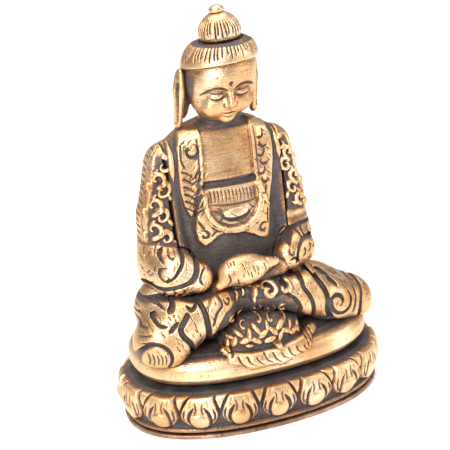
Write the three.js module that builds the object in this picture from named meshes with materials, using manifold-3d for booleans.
// Seated Buddha statuette: an oval lotus pedestal with a robed figure in meditation on it.
// Millimetres, +Z up. The origin is the middle of the flat underside, and the figure faces -Y,
// so its own right hand is on the -X side.
//
// It is made as hollow brass castings that locate in each other by spigots, dowels and tangs:
//   pedestal  base plate with four screws, lotus base, seat
//   figure    legs with two pinned tangs, torso, arms, hands, head, ears, topknot, finial
//   ornament  a dish of flowers in front of the crossed legs
import * as THREE from "three";
import { mergeVertices } from "three/addons/utils/BufferGeometryUtils.js";
import { ConvexGeometry } from "three/addons/geometries/ConvexGeometry.js";
import Module from "manifold-3d";

const wasm = await Module();
wasm.setup();

// Driving dimensions
const HEIGHT = 128.6; // underside to the finial's tip
const BASE_HALF_WIDTH = 44.2; // over the petals
const BASE_HALF_DEPTH = 27.2;
const OVAL_POWER = 2.25; // 2 is an ellipse, more is squarer
const GAP = 0.3; // clearance between touching castings
const PLATE_THICKNESS = 1.5;
const BASE_TOP = 17.2; // upper face of the lotus base
const SEAT_TOP = 26.6; // upper face of the seat
const LAP_TOP = 42; // where the torso stands on the legs
const NECK_TOP = 94.8; // where the head stands on the neck
const FIGURE_X = -0.8; // the figure sits a little to its right on the pedestal
const PLATE_INSET = 1; // how far the plate's edge lies inside the petals
const PETALS = 18;
const PETAL_BULGE = 1.5; // how far a petal stands out of the wall
const PETAL_HALF_WIDTH = 5.4;
const PETAL_HALF_HEIGHT = 5.2;
const PETAL_MIDDLE = 9.6;
const TANG_X = 26; // the legs' tangs pass through the seat and the base here
const TANG_Y = 2;
const TANG_HALF_WIDTH = 2.5;
const TANG_HALF_THICKNESS = 1.4;
const SCREW_X = 28.5;
const SCREW_Y = 12.5;
const CORE_HALF_WIDTH = 11; // the hollow left by the casting core
const CORE_HALF_DEPTH = 6;
const CORE_TOP = 74; // where it ends in the chest
const SPIGOT_RADIUS = 3; // of the neck joint
const HEAD_Y = 8; // the head's axis lies behind the middle

// Finishes
const brass = new THREE.MeshStandardMaterial({ color: 0xd9a95c, roughness: 0.38, metalness: 1 });
const copperSheet = new THREE.MeshStandardMaterial({ color: 0xc08662, roughness: 0.45, metalness: 1 });
const brassWire = new THREE.MeshStandardMaterial({ color: 0xb8924e, roughness: 0.5, metalness: 1 });

// Solids

function toSolid(geometry) {
  const flat = geometry.index ? geometry.toNonIndexed() : geometry.clone();
  flat.deleteAttribute("normal");
  flat.deleteAttribute("uv");
  const merged = mergeVertices(flat, 1e-4);
  return new wasm.Manifold(
    new wasm.Mesh({
      numProp: 3,
      vertProperties: new Float32Array(merged.attributes.position.array),
      triVerts: new Uint32Array(merged.index.array),
    }),
  );
}

function toGeometry(solid) {
  const { vertProperties, triVerts } = solid.getMesh();
  const geometry = new THREE.BufferGeometry();
  geometry.setAttribute("position", new THREE.BufferAttribute(new Float32Array(vertProperties), 3));
  geometry.setIndex(new THREE.BufferAttribute(new Uint32Array(triVerts), 1));
  geometry.computeVertexNormals();
  return geometry;
}

const joined = (solids) => solids.reduce((all, next) => all.add(next));

// Squares a circle's sine or cosine into a superellipse's
const squared = (v, power) => Math.sign(v) * Math.abs(v) ** (2 / power);

// A closed stack of ovals, lowest first. Each ring is [z, half width, half depth, centre y, centre x].
function ovalStack(rings, { grow = 0, sides = 36, power = OVAL_POWER } = {}) {
  const geometry = new THREE.CylinderGeometry(1, 1, 1, sides, rings.length - 1);
  const position = geometry.attributes.position;
  const last = rings.length - 1;
  for (let i = 0; i < position.count; i++) {
    const ring = Math.round((position.getY(i) + 0.5) * last);
    const [z, halfWidth, halfDepth, centreY = 0, centreX = 0] = rings[ring];
    const past = ring === 0 ? -grow : ring === last ? grow : 0;
    position.setXYZ(
      i,
      centreX + squared(position.getX(i), power) * (halfWidth + grow),
      centreY - squared(position.getZ(i), power) * (halfDepth + grow),
      z + past,
    );
  }
  return toSolid(geometry);
}

// The convex skin over a few balls. Each ball is [x, y, z, radius].
function skinOver(balls, { grow = 0, sides = 12 } = {}) {
  const points = balls.flatMap(([x, y, z, radius]) => {
    const { position } = new THREE.SphereGeometry(radius + grow, sides, sides / 2).attributes;
    return Array.from({ length: position.count }, (_, i) =>
      new THREE.Vector3().fromBufferAttribute(position, i).add(new THREE.Vector3(x, y, z)),
    );
  });
  return toSolid(new ConvexGeometry(points));
}

const limb = (balls, grow, sides) =>
  joined(balls.slice(1).map((ball, i) => skinOver([balls[i], ball], { grow, sides })));

function ellipsoid([x, y, z], [rx, ry, rz], { grow = 0, sides = 20 } = {}) {
  const ball = new THREE.SphereGeometry(1, sides, sides / 2).rotateX(Math.PI / 2);
  return toSolid(ball.scale(rx + grow, ry + grow, rz + grow).translate(x, y, z));
}

function block(low, high) {
  const size = high.map((v, i) => v - low[i]);
  const geometry = new THREE.BoxGeometry(...size);
  return toSolid(geometry.translate(...low.map((v, i) => v + size[i] / 2)));
}

function rod([x, y, z], direction, length, radius, sides = 16) {
  const geometry = new THREE.CylinderGeometry(radius, radius, length, sides);
  geometry.translate(0, length / 2, 0);
  const turn = new THREE.Quaternion().setFromUnitVectors(new THREE.Vector3(0, 1, 0), direction);
  return toSolid(geometry.applyQuaternion(turn).translate(x, y, z));
}

const UP = new THREE.Vector3(0, 0, 1);
const RIGHTWARDS = new THREE.Vector3(1, 0, 0);
const BACKWARDS = new THREE.Vector3(0, 1, 0);

function centrelinePlate(outline, thickness, y) {
  // An outline in the XZ plane, given thickness along Y from y backwards
  const geometry = new THREE.ExtrudeGeometry(outline, {
    depth: thickness,
    bevelEnabled: false,
    curveSegments: 8,
  });
  return toSolid(geometry.rotateX(Math.PI / 2).translate(0, y + thickness, 0));
}

// Pedestal

const atCorners = (make) => [1, -1].flatMap((sx) => [1, -1].map((sy) => make(sx * SCREW_X, sy * SCREW_Y)));

function coreHole(low, high) {
  const section = [CORE_HALF_WIDTH, CORE_HALF_DEPTH, TANG_Y];
  return ovalStack([[low, ...section], [high, ...section]], { sides: 24 });
}

function tangBar(x, low, high, grow = 0) {
  const halfWidth = TANG_HALF_WIDTH + grow;
  const halfThickness = TANG_HALF_THICKNESS + grow;
  return block([x - halfWidth, TANG_Y - halfThickness, low], [x + halfWidth, TANG_Y + halfThickness, high]);
}

const tangSlots = (low, high) => joined([-TANG_X, TANG_X].map((x) => tangBar(x, low, high, GAP)));

const SCREW_HEAD = 2.6;
const SCREW_SHANK = 1.25;
const SCREW_LENGTH = 7;

function screwProfile(extra) {
  // A countersunk screw with its head down at z = 0, as a closed lathe profile
  const head = SCREW_HEAD + extra;
  const shank = SCREW_SHANK + extra;
  return [
    new THREE.Vector2(0, -extra),
    new THREE.Vector2(head, -extra),
    new THREE.Vector2(shank, head - shank),
    new THREE.Vector2(shank, SCREW_LENGTH + extra),
    new THREE.Vector2(0, SCREW_LENGTH + extra),
  ];
}

const screwGeometry = (extra) =>
  new THREE.LatheGeometry(screwProfile(extra), 16).rotateX(Math.PI / 2);

const screwHoles = () =>
  joined(atCorners((x, y) => toSolid(screwGeometry(GAP)).translate([x, y, 0.3])));

function slottedScrew() {
  const slot = block([-SCREW_HEAD - 1, -0.35, -1], [SCREW_HEAD + 1, 0.35, 0.6]);
  return toSolid(screwGeometry(0)).subtract(slot);
}

function basePlate() {
  const sheet = ovalStack([
    [0, BASE_HALF_WIDTH - PLATE_INSET, BASE_HALF_DEPTH - PLATE_INSET],
    [PLATE_THICKNESS, BASE_HALF_WIDTH - PLATE_INSET, BASE_HALF_DEPTH - PLATE_INSET],
  ]);
  return sheet.subtract(screwHoles());
}

function petalRing() {
  // One rounded petal after another round the wall, each a flattened ball
  const petal = (k) => {
    const angle = (2 * Math.PI * (k + 0.5)) / PETALS;
    const x = squared(Math.cos(angle), OVAL_POWER) * (BASE_HALF_WIDTH - PETAL_BULGE);
    const y = squared(Math.sin(angle), OVAL_POWER) * (BASE_HALF_DEPTH - PETAL_BULGE);
    const outward = Math.atan2(y * BASE_HALF_WIDTH ** 2, x * BASE_HALF_DEPTH ** 2);
    const ball = new THREE.SphereGeometry(1, 8, 6).scale(PETAL_BULGE, PETAL_HALF_WIDTH, PETAL_HALF_HEIGHT);
    return toSolid(ball.rotateZ(outward).translate(x, y, PETAL_MIDDLE));
  };
  return joined(Array.from({ length: PETALS }, (_, k) => petal(k)));
}

function lotusBase() {
  const [wide, deep] = [BASE_HALF_WIDTH - PETAL_BULGE, BASE_HALF_DEPTH - PETAL_BULGE];
  const wall = ovalStack([
    [PLATE_THICKNESS + GAP, wide, deep],
    [4.5, wide - 1, deep - 1],
    [8, wide, deep],
    [13.5, wide, deep],
    [15.4, wide - 1.4, deep - 1.4],
    [BASE_TOP, wide - 4, deep - 3.6],
  ]);
  const hollow = ovalStack([
    [0, wide - 4, deep - 4],
    [13.4, wide - 5, deep - 5],
  ]);
  const bosses = joined(atCorners((x, y) => rod([x, y, PLATE_THICKNESS + GAP], UP, 12.5, 3.2)));
  return wall
    .add(petalRing())
    .subtract(hollow)
    .add(bosses)
    .subtract(screwHoles())
    .subtract(coreHole(10, BASE_TOP + 1))
    .subtract(tangSlots(10, BASE_TOP + 1));
}

const seatRings = [
  [BASE_TOP + GAP, 38.6, 23.2],
  [19.2, 39.7, 24.3],
  [22.8, 39.7, 24.3],
  [25.2, 38.4, 23],
  [SEAT_TOP, 34.6, 19.2],
];

const seatForm = (grow) => ovalStack(seatRings, { grow });

function seat() {
  return seatForm(0)
    .subtract(coreHole(BASE_TOP, SEAT_TOP + 1))
    .subtract(tangSlots(BASE_TOP, SEAT_TOP + 1));
}

const PIN_Z = 12;
const PIN_RADIUS = 0.9;
const PIN_LENGTH = 9;

// Figure, drawn round its own middle plane, which stands at FIGURE_X.
// Each form takes grow, so that a neighbour can be cut to fit it with a clearance.

const MIDDLE = -FIGURE_X; // the pedestal's middle plane, as the figure sees it

const rightThigh = [[-14, 5, 37, 9.5], [-26, -2, 38, 10.4]];
const rightShin = [[-30.6, -11, 31, 9.4], [-24, -10, 36, 9], [-13.5, -12.4, 38.4, 6.8]];
const leftThigh = [[14, 4, 36.2, 8.6], [34.4, -2.4, 28.8, 7.4]];
const leftShin = [[35, -6.6, 29, 7.6], [17, -12, 37.2, 6.8], [1, -12.8, 41.2, 4.6]];
const ankles = [[-11, -9.6, 41, 5], [6, -9.6, 41, 5]];
const hipRings = [[SEAT_TOP - 2, 30, 15, 3], [LAP_TOP - 4, 26.5, 15, 3], [LAP_TOP, 22, 13, 3.5]];
const NICHE = { centre: [0.4, -21.6, 32.6], radii: [13.2, 6.2, 8.6] }; // under the crossed shins

function legsForm(grow) {
  const hips = ovalStack(hipRings, { grow, sides: 28 });
  const limbs = [rightThigh, rightShin, leftThigh, leftShin, ankles].map((balls) => limb(balls, grow, 12));
  return joined([hips, ...limbs])
    .subtract(ellipsoid(NICHE.centre, NICHE.radii, { grow: -grow }))
    .subtract(seatForm(GAP - grow).translate([MIDDLE, 0, 0]));
}

const torsoRings = [
  [LAP_TOP + GAP, 17, 11.2, 3.8, -0.8],
  [52, 16.6, 11, 4, -1.4],
  [62, 16.6, 10.8, 4.4, -1.8],
  [72, 17, 10.2, 6, -2],
  [80, 17.6, 9.4, 7.6, -2],
  [86, 17.6, 8.4, 8.2, -1.8],
  [90, 15.8, 7.4, 8.2, -1.6],
  [92.4, 11.4, 6.6, 8, -1.4],
  [NECK_TOP - GAP, 6.4, 6, 7.6, -0.2],
];

const torsoForm = (grow) => ovalStack(torsoRings, { grow, sides: 32, power: 2.2 });

// Each arm is an upper arm and a forearm. The right sleeve hangs fuller over the knee.
const rightArm = [
  [[-18.6, 7.4, 81.4, 7.8], [-22.6, 5.6, 66, 7.9], [-23.4, 3.4, 55, 8.9]],
  [[-24.2, 0.6, 50.6, 9], [-23.2, -6.6, 50.4, 7.4], [-17.6, -11, 50, 4.9]],
];
const leftArm = [
  [[15, 7.4, 82, 7.2], [17.6, 5.6, 66, 7.2], [18.6, 3.6, 53, 7.2]],
  [[18.6, 3.6, 52, 7.2], [17.8, -4.6, 50.4, 5.8], [13, -9.2, 50.2, 4.6]],
];

const armForm = (chain, grow) => joined(chain.map((balls) => skinOver(balls, { grow })));

const SHOULDER = { y: 7.4, z: 80, middle: -2, halfWidth: 17.6 };
const DOWEL_RADIUS = 1.9;
const DOWEL_OUTSIDE = 2.5; // how much of a dowel is in the arm
const DOWEL_INSIDE = 4; // and how much in the torso
const shoulderX = (side) => SHOULDER.middle + side * SHOULDER.halfWidth;
const inwards = (side) => RIGHTWARDS.clone().multiplyScalar(-side);

const shoulderRod = (side, outside, inside, radius) =>
  rod([shoulderX(side) + side * outside, SHOULDER.y, SHOULDER.z], inwards(side), outside + inside, radius);

function lapels() {
  // The long collar bands of the robe: down from the neck on both sides, joined in a U over the belly
  const outline = new THREE.Shape();
  outline.moveTo(-16, 91);
  outline.lineTo(-17.8, 75);
  outline.lineTo(-14, 68);
  outline.quadraticCurveTo(-16, 60, -12.8, 57.4);
  outline.quadraticCurveTo(-7, 62, -2.6, 60.6);
  outline.quadraticCurveTo(3, 59.6, 8, 57);
  outline.quadraticCurveTo(10.4, 62, 9.9, 66.4);
  outline.lineTo(13.4, 80);
  outline.lineTo(13, 91);
  const opening = new THREE.Path();
  opening.moveTo(-9.2, 95);
  opening.lineTo(-10.4, 73);
  opening.quadraticCurveTo(-9.4, 63.4, -2, 63.2);
  opening.quadraticCurveTo(5.4, 63.4, 6.2, 73);
  opening.lineTo(7, 95);
  const band = centrelinePlate(outline, 30, -30);
  const gapBetween = centrelinePlate(new THREE.Shape(opening.getPoints(8)), 32, -31);
  return torsoForm(1.1).intersect(band.subtract(gapBetween)).intersect(block([-20, -30, 50], [20, 0, 92]));
}

const atTangs = (make) => joined([-TANG_X, TANG_X].map((x) => make(MIDDLE + x)));

function legs() {
  const tangs = atTangs((x) => tangBar(x, PIN_Z - 3.5, SEAT_TOP + 4));
  const pinHoles = atTangs((x) => rod([x, TANG_Y - 5, PIN_Z], BACKWARDS, 10, PIN_RADIUS + GAP));
  return legsForm(0)
    .add(tangs)
    .subtract(pinHoles)
    .subtract(coreHole(SEAT_TOP - 1, LAP_TOP + 10).translate([MIDDLE, 0, 0]));
}

function torso() {
  const core = ovalStack(
    [
      [LAP_TOP - 1, CORE_HALF_WIDTH, CORE_HALF_DEPTH, TANG_Y, MIDDLE],
      [CORE_TOP, CORE_HALF_WIDTH - 3, CORE_HALF_DEPTH - 1, TANG_Y + 4, MIDDLE],
    ],
    { sides: 24 },
  );
  const socket = rod([0, HEAD_Y, NECK_TOP - 6], UP, 8, SPIGOT_RADIUS + GAP, 20);
  const armSocket = (side) => shoulderRod(side, 3, DOWEL_INSIDE + 1, DOWEL_RADIUS + GAP);
  return torsoForm(0)
    .add(lapels())
    .subtract(legsForm(GAP))
    .subtract(core)
    .subtract(socket)
    .subtract(joined([-1, 1].map(armSocket)));
}

function arm(chain, side) {
  const dowel = shoulderRod(side, DOWEL_OUTSIDE, DOWEL_INSIDE, DOWEL_RADIUS);
  return armForm(chain, 0)
    .subtract(torsoForm(GAP + 0.1))
    .subtract(lapels())
    .subtract(legsForm(GAP))
    .add(dowel);
}

const rightHandBalls = [[-11.4, -14.4, 49.4, 2], [-2.8, -13.6, 50.8, 4.7], [7, -14.2, 51.4, 1.4]];
const leftHandBalls = [[9.4, -12.2, 48.6, 3], [-6, -13.4, 46.4, 2]];

const handForm = (balls, grow) => skinOver(balls, { grow, sides: 10 });

function hand(balls) {
  return handForm(balls, 0)
    .subtract(torsoForm(GAP))
    .subtract(legsForm(GAP))
    .subtract(armForm(rightArm, GAP))
    .subtract(armForm(leftArm, GAP));
}

// The ornament: flowers heaped in the niche, in a gathered cloth on the seat's front edge
const heap = { centre: [0, -14.6, 27], radii: [13.6, 7.4, 8.8] };
const cloth = [
  [-13.6, -18.8, 27.2, 1.1],
  [-11.6, -21.2, 25, 2],
  [-5.5, -22.8, 23.9, 2.7],
  [3.5, -23, 24, 2.9],
  [11.5, -21.2, 24.8, 2.8],
  [16.4, -16.2, 26.4, 2.2],
];

function frontOrnament() {
  return ellipsoid(heap.centre, heap.radii)
    .add(limb(cloth, 0, 10))
    .subtract(legsForm(GAP))
    .subtract(seatForm(GAP).translate([MIDDLE, 0, 0]));
}

// Head. It is drawn upright, then leans to its left, with its left side a little higher.

const LEAN = 0.1; // sideways per mm of height
const SLANT = 0.06; // upwards per mm to the left
const LEAN_MIDDLE = 104; // the height that stays in place
const HEAD_X = 0.4;

const leaned = (solid) =>
  solid.transform([1, 0, SLANT, 0, 0, 1, 0, 0, LEAN, 0, 1, 0, HEAD_X - LEAN * LEAN_MIDDLE, 0, 0, 1]);

function headForm(grow) {
  const skull = ellipsoid([0, HEAD_Y - 1, 107.5], [11.2, 10.9, 11.2], { grow, sides: 28 });
  const jaw = ellipsoid([0, HEAD_Y - 2.8, 101.4], [9.2, 8.8, 8], { grow, sides: 24 });
  return skull.add(jaw);
}

const hairCap = () =>
  ovalStack(
    [
      [109.4, 11.2, 11, HEAD_Y],
      [110.8, 12, 12, HEAD_Y],
      [113.6, 11.9, 11.8, HEAD_Y],
      [116.2, 11.2, 11.2, HEAD_Y],
      [117.9, 10.2, 10.2, HEAD_Y],
      [118.6, 8.4, 8.4, HEAD_Y],
    ],
    { sides: 28, power: 2 },
  );

const EAR = { x: 11.8, y: 8.4, z: 102.2, pegHeight: 3.5, pegRadius: 0.9, pegLength: 5.2 };
const EAR_RADII = [2.6, 3, 8.8];

function head() {
  const nose = [[0, -2.6, 104, 0.9], [0, -3.4, 100.4, 1.1]];
  const spigot = rod([0, HEAD_Y, NECK_TOP - 5.5], UP, 9, SPIGOT_RADIUS, 20);
  const earSockets = joined(
    [-1, 1].map((side) =>
      rod([side * (EAR.x + 1), EAR.y, EAR.z + EAR.pegHeight], inwards(side), 7, EAR.pegRadius + GAP),
    ),
  );
  return leaned(headForm(0).add(hairCap()).add(skinOver(nose, { sides: 8 })).subtract(earSockets))
    .intersect(block([-20, -20, NECK_TOP], [20, 30, HEIGHT]))
    .add(spigot)
    .subtract(onCrown(topknotForm(GAP)));
}

function ear(side) {
  // A long-lobed ear, standing off the head on a small peg
  const shell = ellipsoid([side * EAR.x, EAR.y, EAR.z], EAR_RADII, { sides: 16 });
  const root = [side * EAR.x, EAR.y, EAR.z + EAR.pegHeight];
  const peg = rod(root, inwards(side), EAR.pegLength, EAR.pegRadius);
  const pegHole = rod(root, inwards(side), 8, EAR.pegRadius + GAP);
  const solidHead = headForm(GAP).add(hairCap()).subtract(pegHole);
  return leaned(shell.add(peg).subtract(solidHead));
}

// Topknot and finial are turned shapes, drawn from their own lower face upwards.

function turned(profile, sides) {
  const points = profile.map(([r, z]) => new THREE.Vector2(r, z));
  return toSolid(new THREE.LatheGeometry(points, sides).rotateX(Math.PI / 2));
}

const TOPKNOT = { x: 2.2, z: 118.4, turn: 5 }; // its foot, and its angle in degrees
const TOPKNOT_SPIGOT = 2;
const FINIAL_SPIGOT = 1;
const FINIAL_FOOT = 8.3;

const onCrown = (solid) => solid.rotate([0, -TOPKNOT.turn, 0]).translate([TOPKNOT.x, HEAD_Y, TOPKNOT.z]);

function topknotForm(grow) {
  const spigot = TOPKNOT_SPIGOT + grow;
  const foot = -0.2 - grow;
  const dome = [[6, foot], [6.65, 1.4], [6.65, 3], [5.9, 4.9], [4.4, 6.7], [2.4, 7.8]];
  const skin = dome.map(([r, z]) => [r + grow, z]);
  return turned([[0, -3 - grow], [spigot, -3 - grow], [spigot, foot], ...skin, [0, FINIAL_FOOT - GAP]], 24);
}

const topknot = () => onCrown(topknotForm(0).subtract(rod([0, 0, 6.2], UP, 4, FINIAL_SPIGOT + GAP, 12)));

function finial() {
  const tip = (HEIGHT - TOPKNOT.z) / Math.cos(THREE.MathUtils.degToRad(TOPKNOT.turn));
  const foot = [[0, 6.6], [FINIAL_SPIGOT, 6.6], [FINIAL_SPIGOT, FINIAL_FOOT]];
  const ball = [[1.9, FINIAL_FOOT], [2.35, 8.9], [2.05, 9.6], [1.1, 10.1]];
  return onCrown(turned([...foot, ...ball, [0, tip]], 16));
}

// Assembly

function named(name, shape, material, [x, y, z] = [0, 0, 0]) {
  const geometry = shape.isBufferGeometry ? shape : toGeometry(shape);
  const mesh = new THREE.Mesh(geometry, material);
  mesh.name = name;
  mesh.position.set(x, y, z);
  return mesh;
}

const pedestal = new THREE.Group();
pedestal.add(named("base_plate", basePlate(), copperSheet));
const corners = atCorners((x, y) => [x, y, 0.3]);
["left_back", "left_front", "right_back", "right_front"].forEach((corner, i) => {
  pedestal.add(named(`base_screw_${corner}`, slottedScrew(), brassWire, corners[i]));
});
pedestal.add(named("lotus_base", lotusBase(), brass));
pedestal.add(named("seat", seat(), brass));
for (const [side, x] of [["right", -TANG_X], ["left", TANG_X]]) {
  const pin = new THREE.CylinderGeometry(PIN_RADIUS, PIN_RADIUS, PIN_LENGTH, 12);
  pedestal.add(named(`tang_pin_${side}`, pin, brassWire, [x, TANG_Y, PIN_Z]));
}

const rightHand = hand(rightHandBalls);
const leftHand = hand(leftHandBalls).subtract(handForm(rightHandBalls, GAP));

const figure = new THREE.Group();
figure.add(named("legs", legs(), brass));
figure.add(named("front_ornament", frontOrnament(), brass));
figure.add(named("torso", torso(), brass));
figure.add(named("right_arm", arm(rightArm, -1), brass));
figure.add(named("left_arm", arm(leftArm, 1), brass));
figure.add(named("right_hand", rightHand, brass));
figure.add(named("left_hand", leftHand, brass));
figure.add(named("head", head(), brass));
figure.add(named("right_ear", ear(-1), brass));
figure.add(named("left_ear", ear(1), brass));
figure.add(named("topknot", topknot(), brass));
figure.add(named("finial", finial(), brass));
figure.position.x = FIGURE_X;

const statuette = new THREE.Group();
statuette.add(pedestal, figure);

export default statuette;
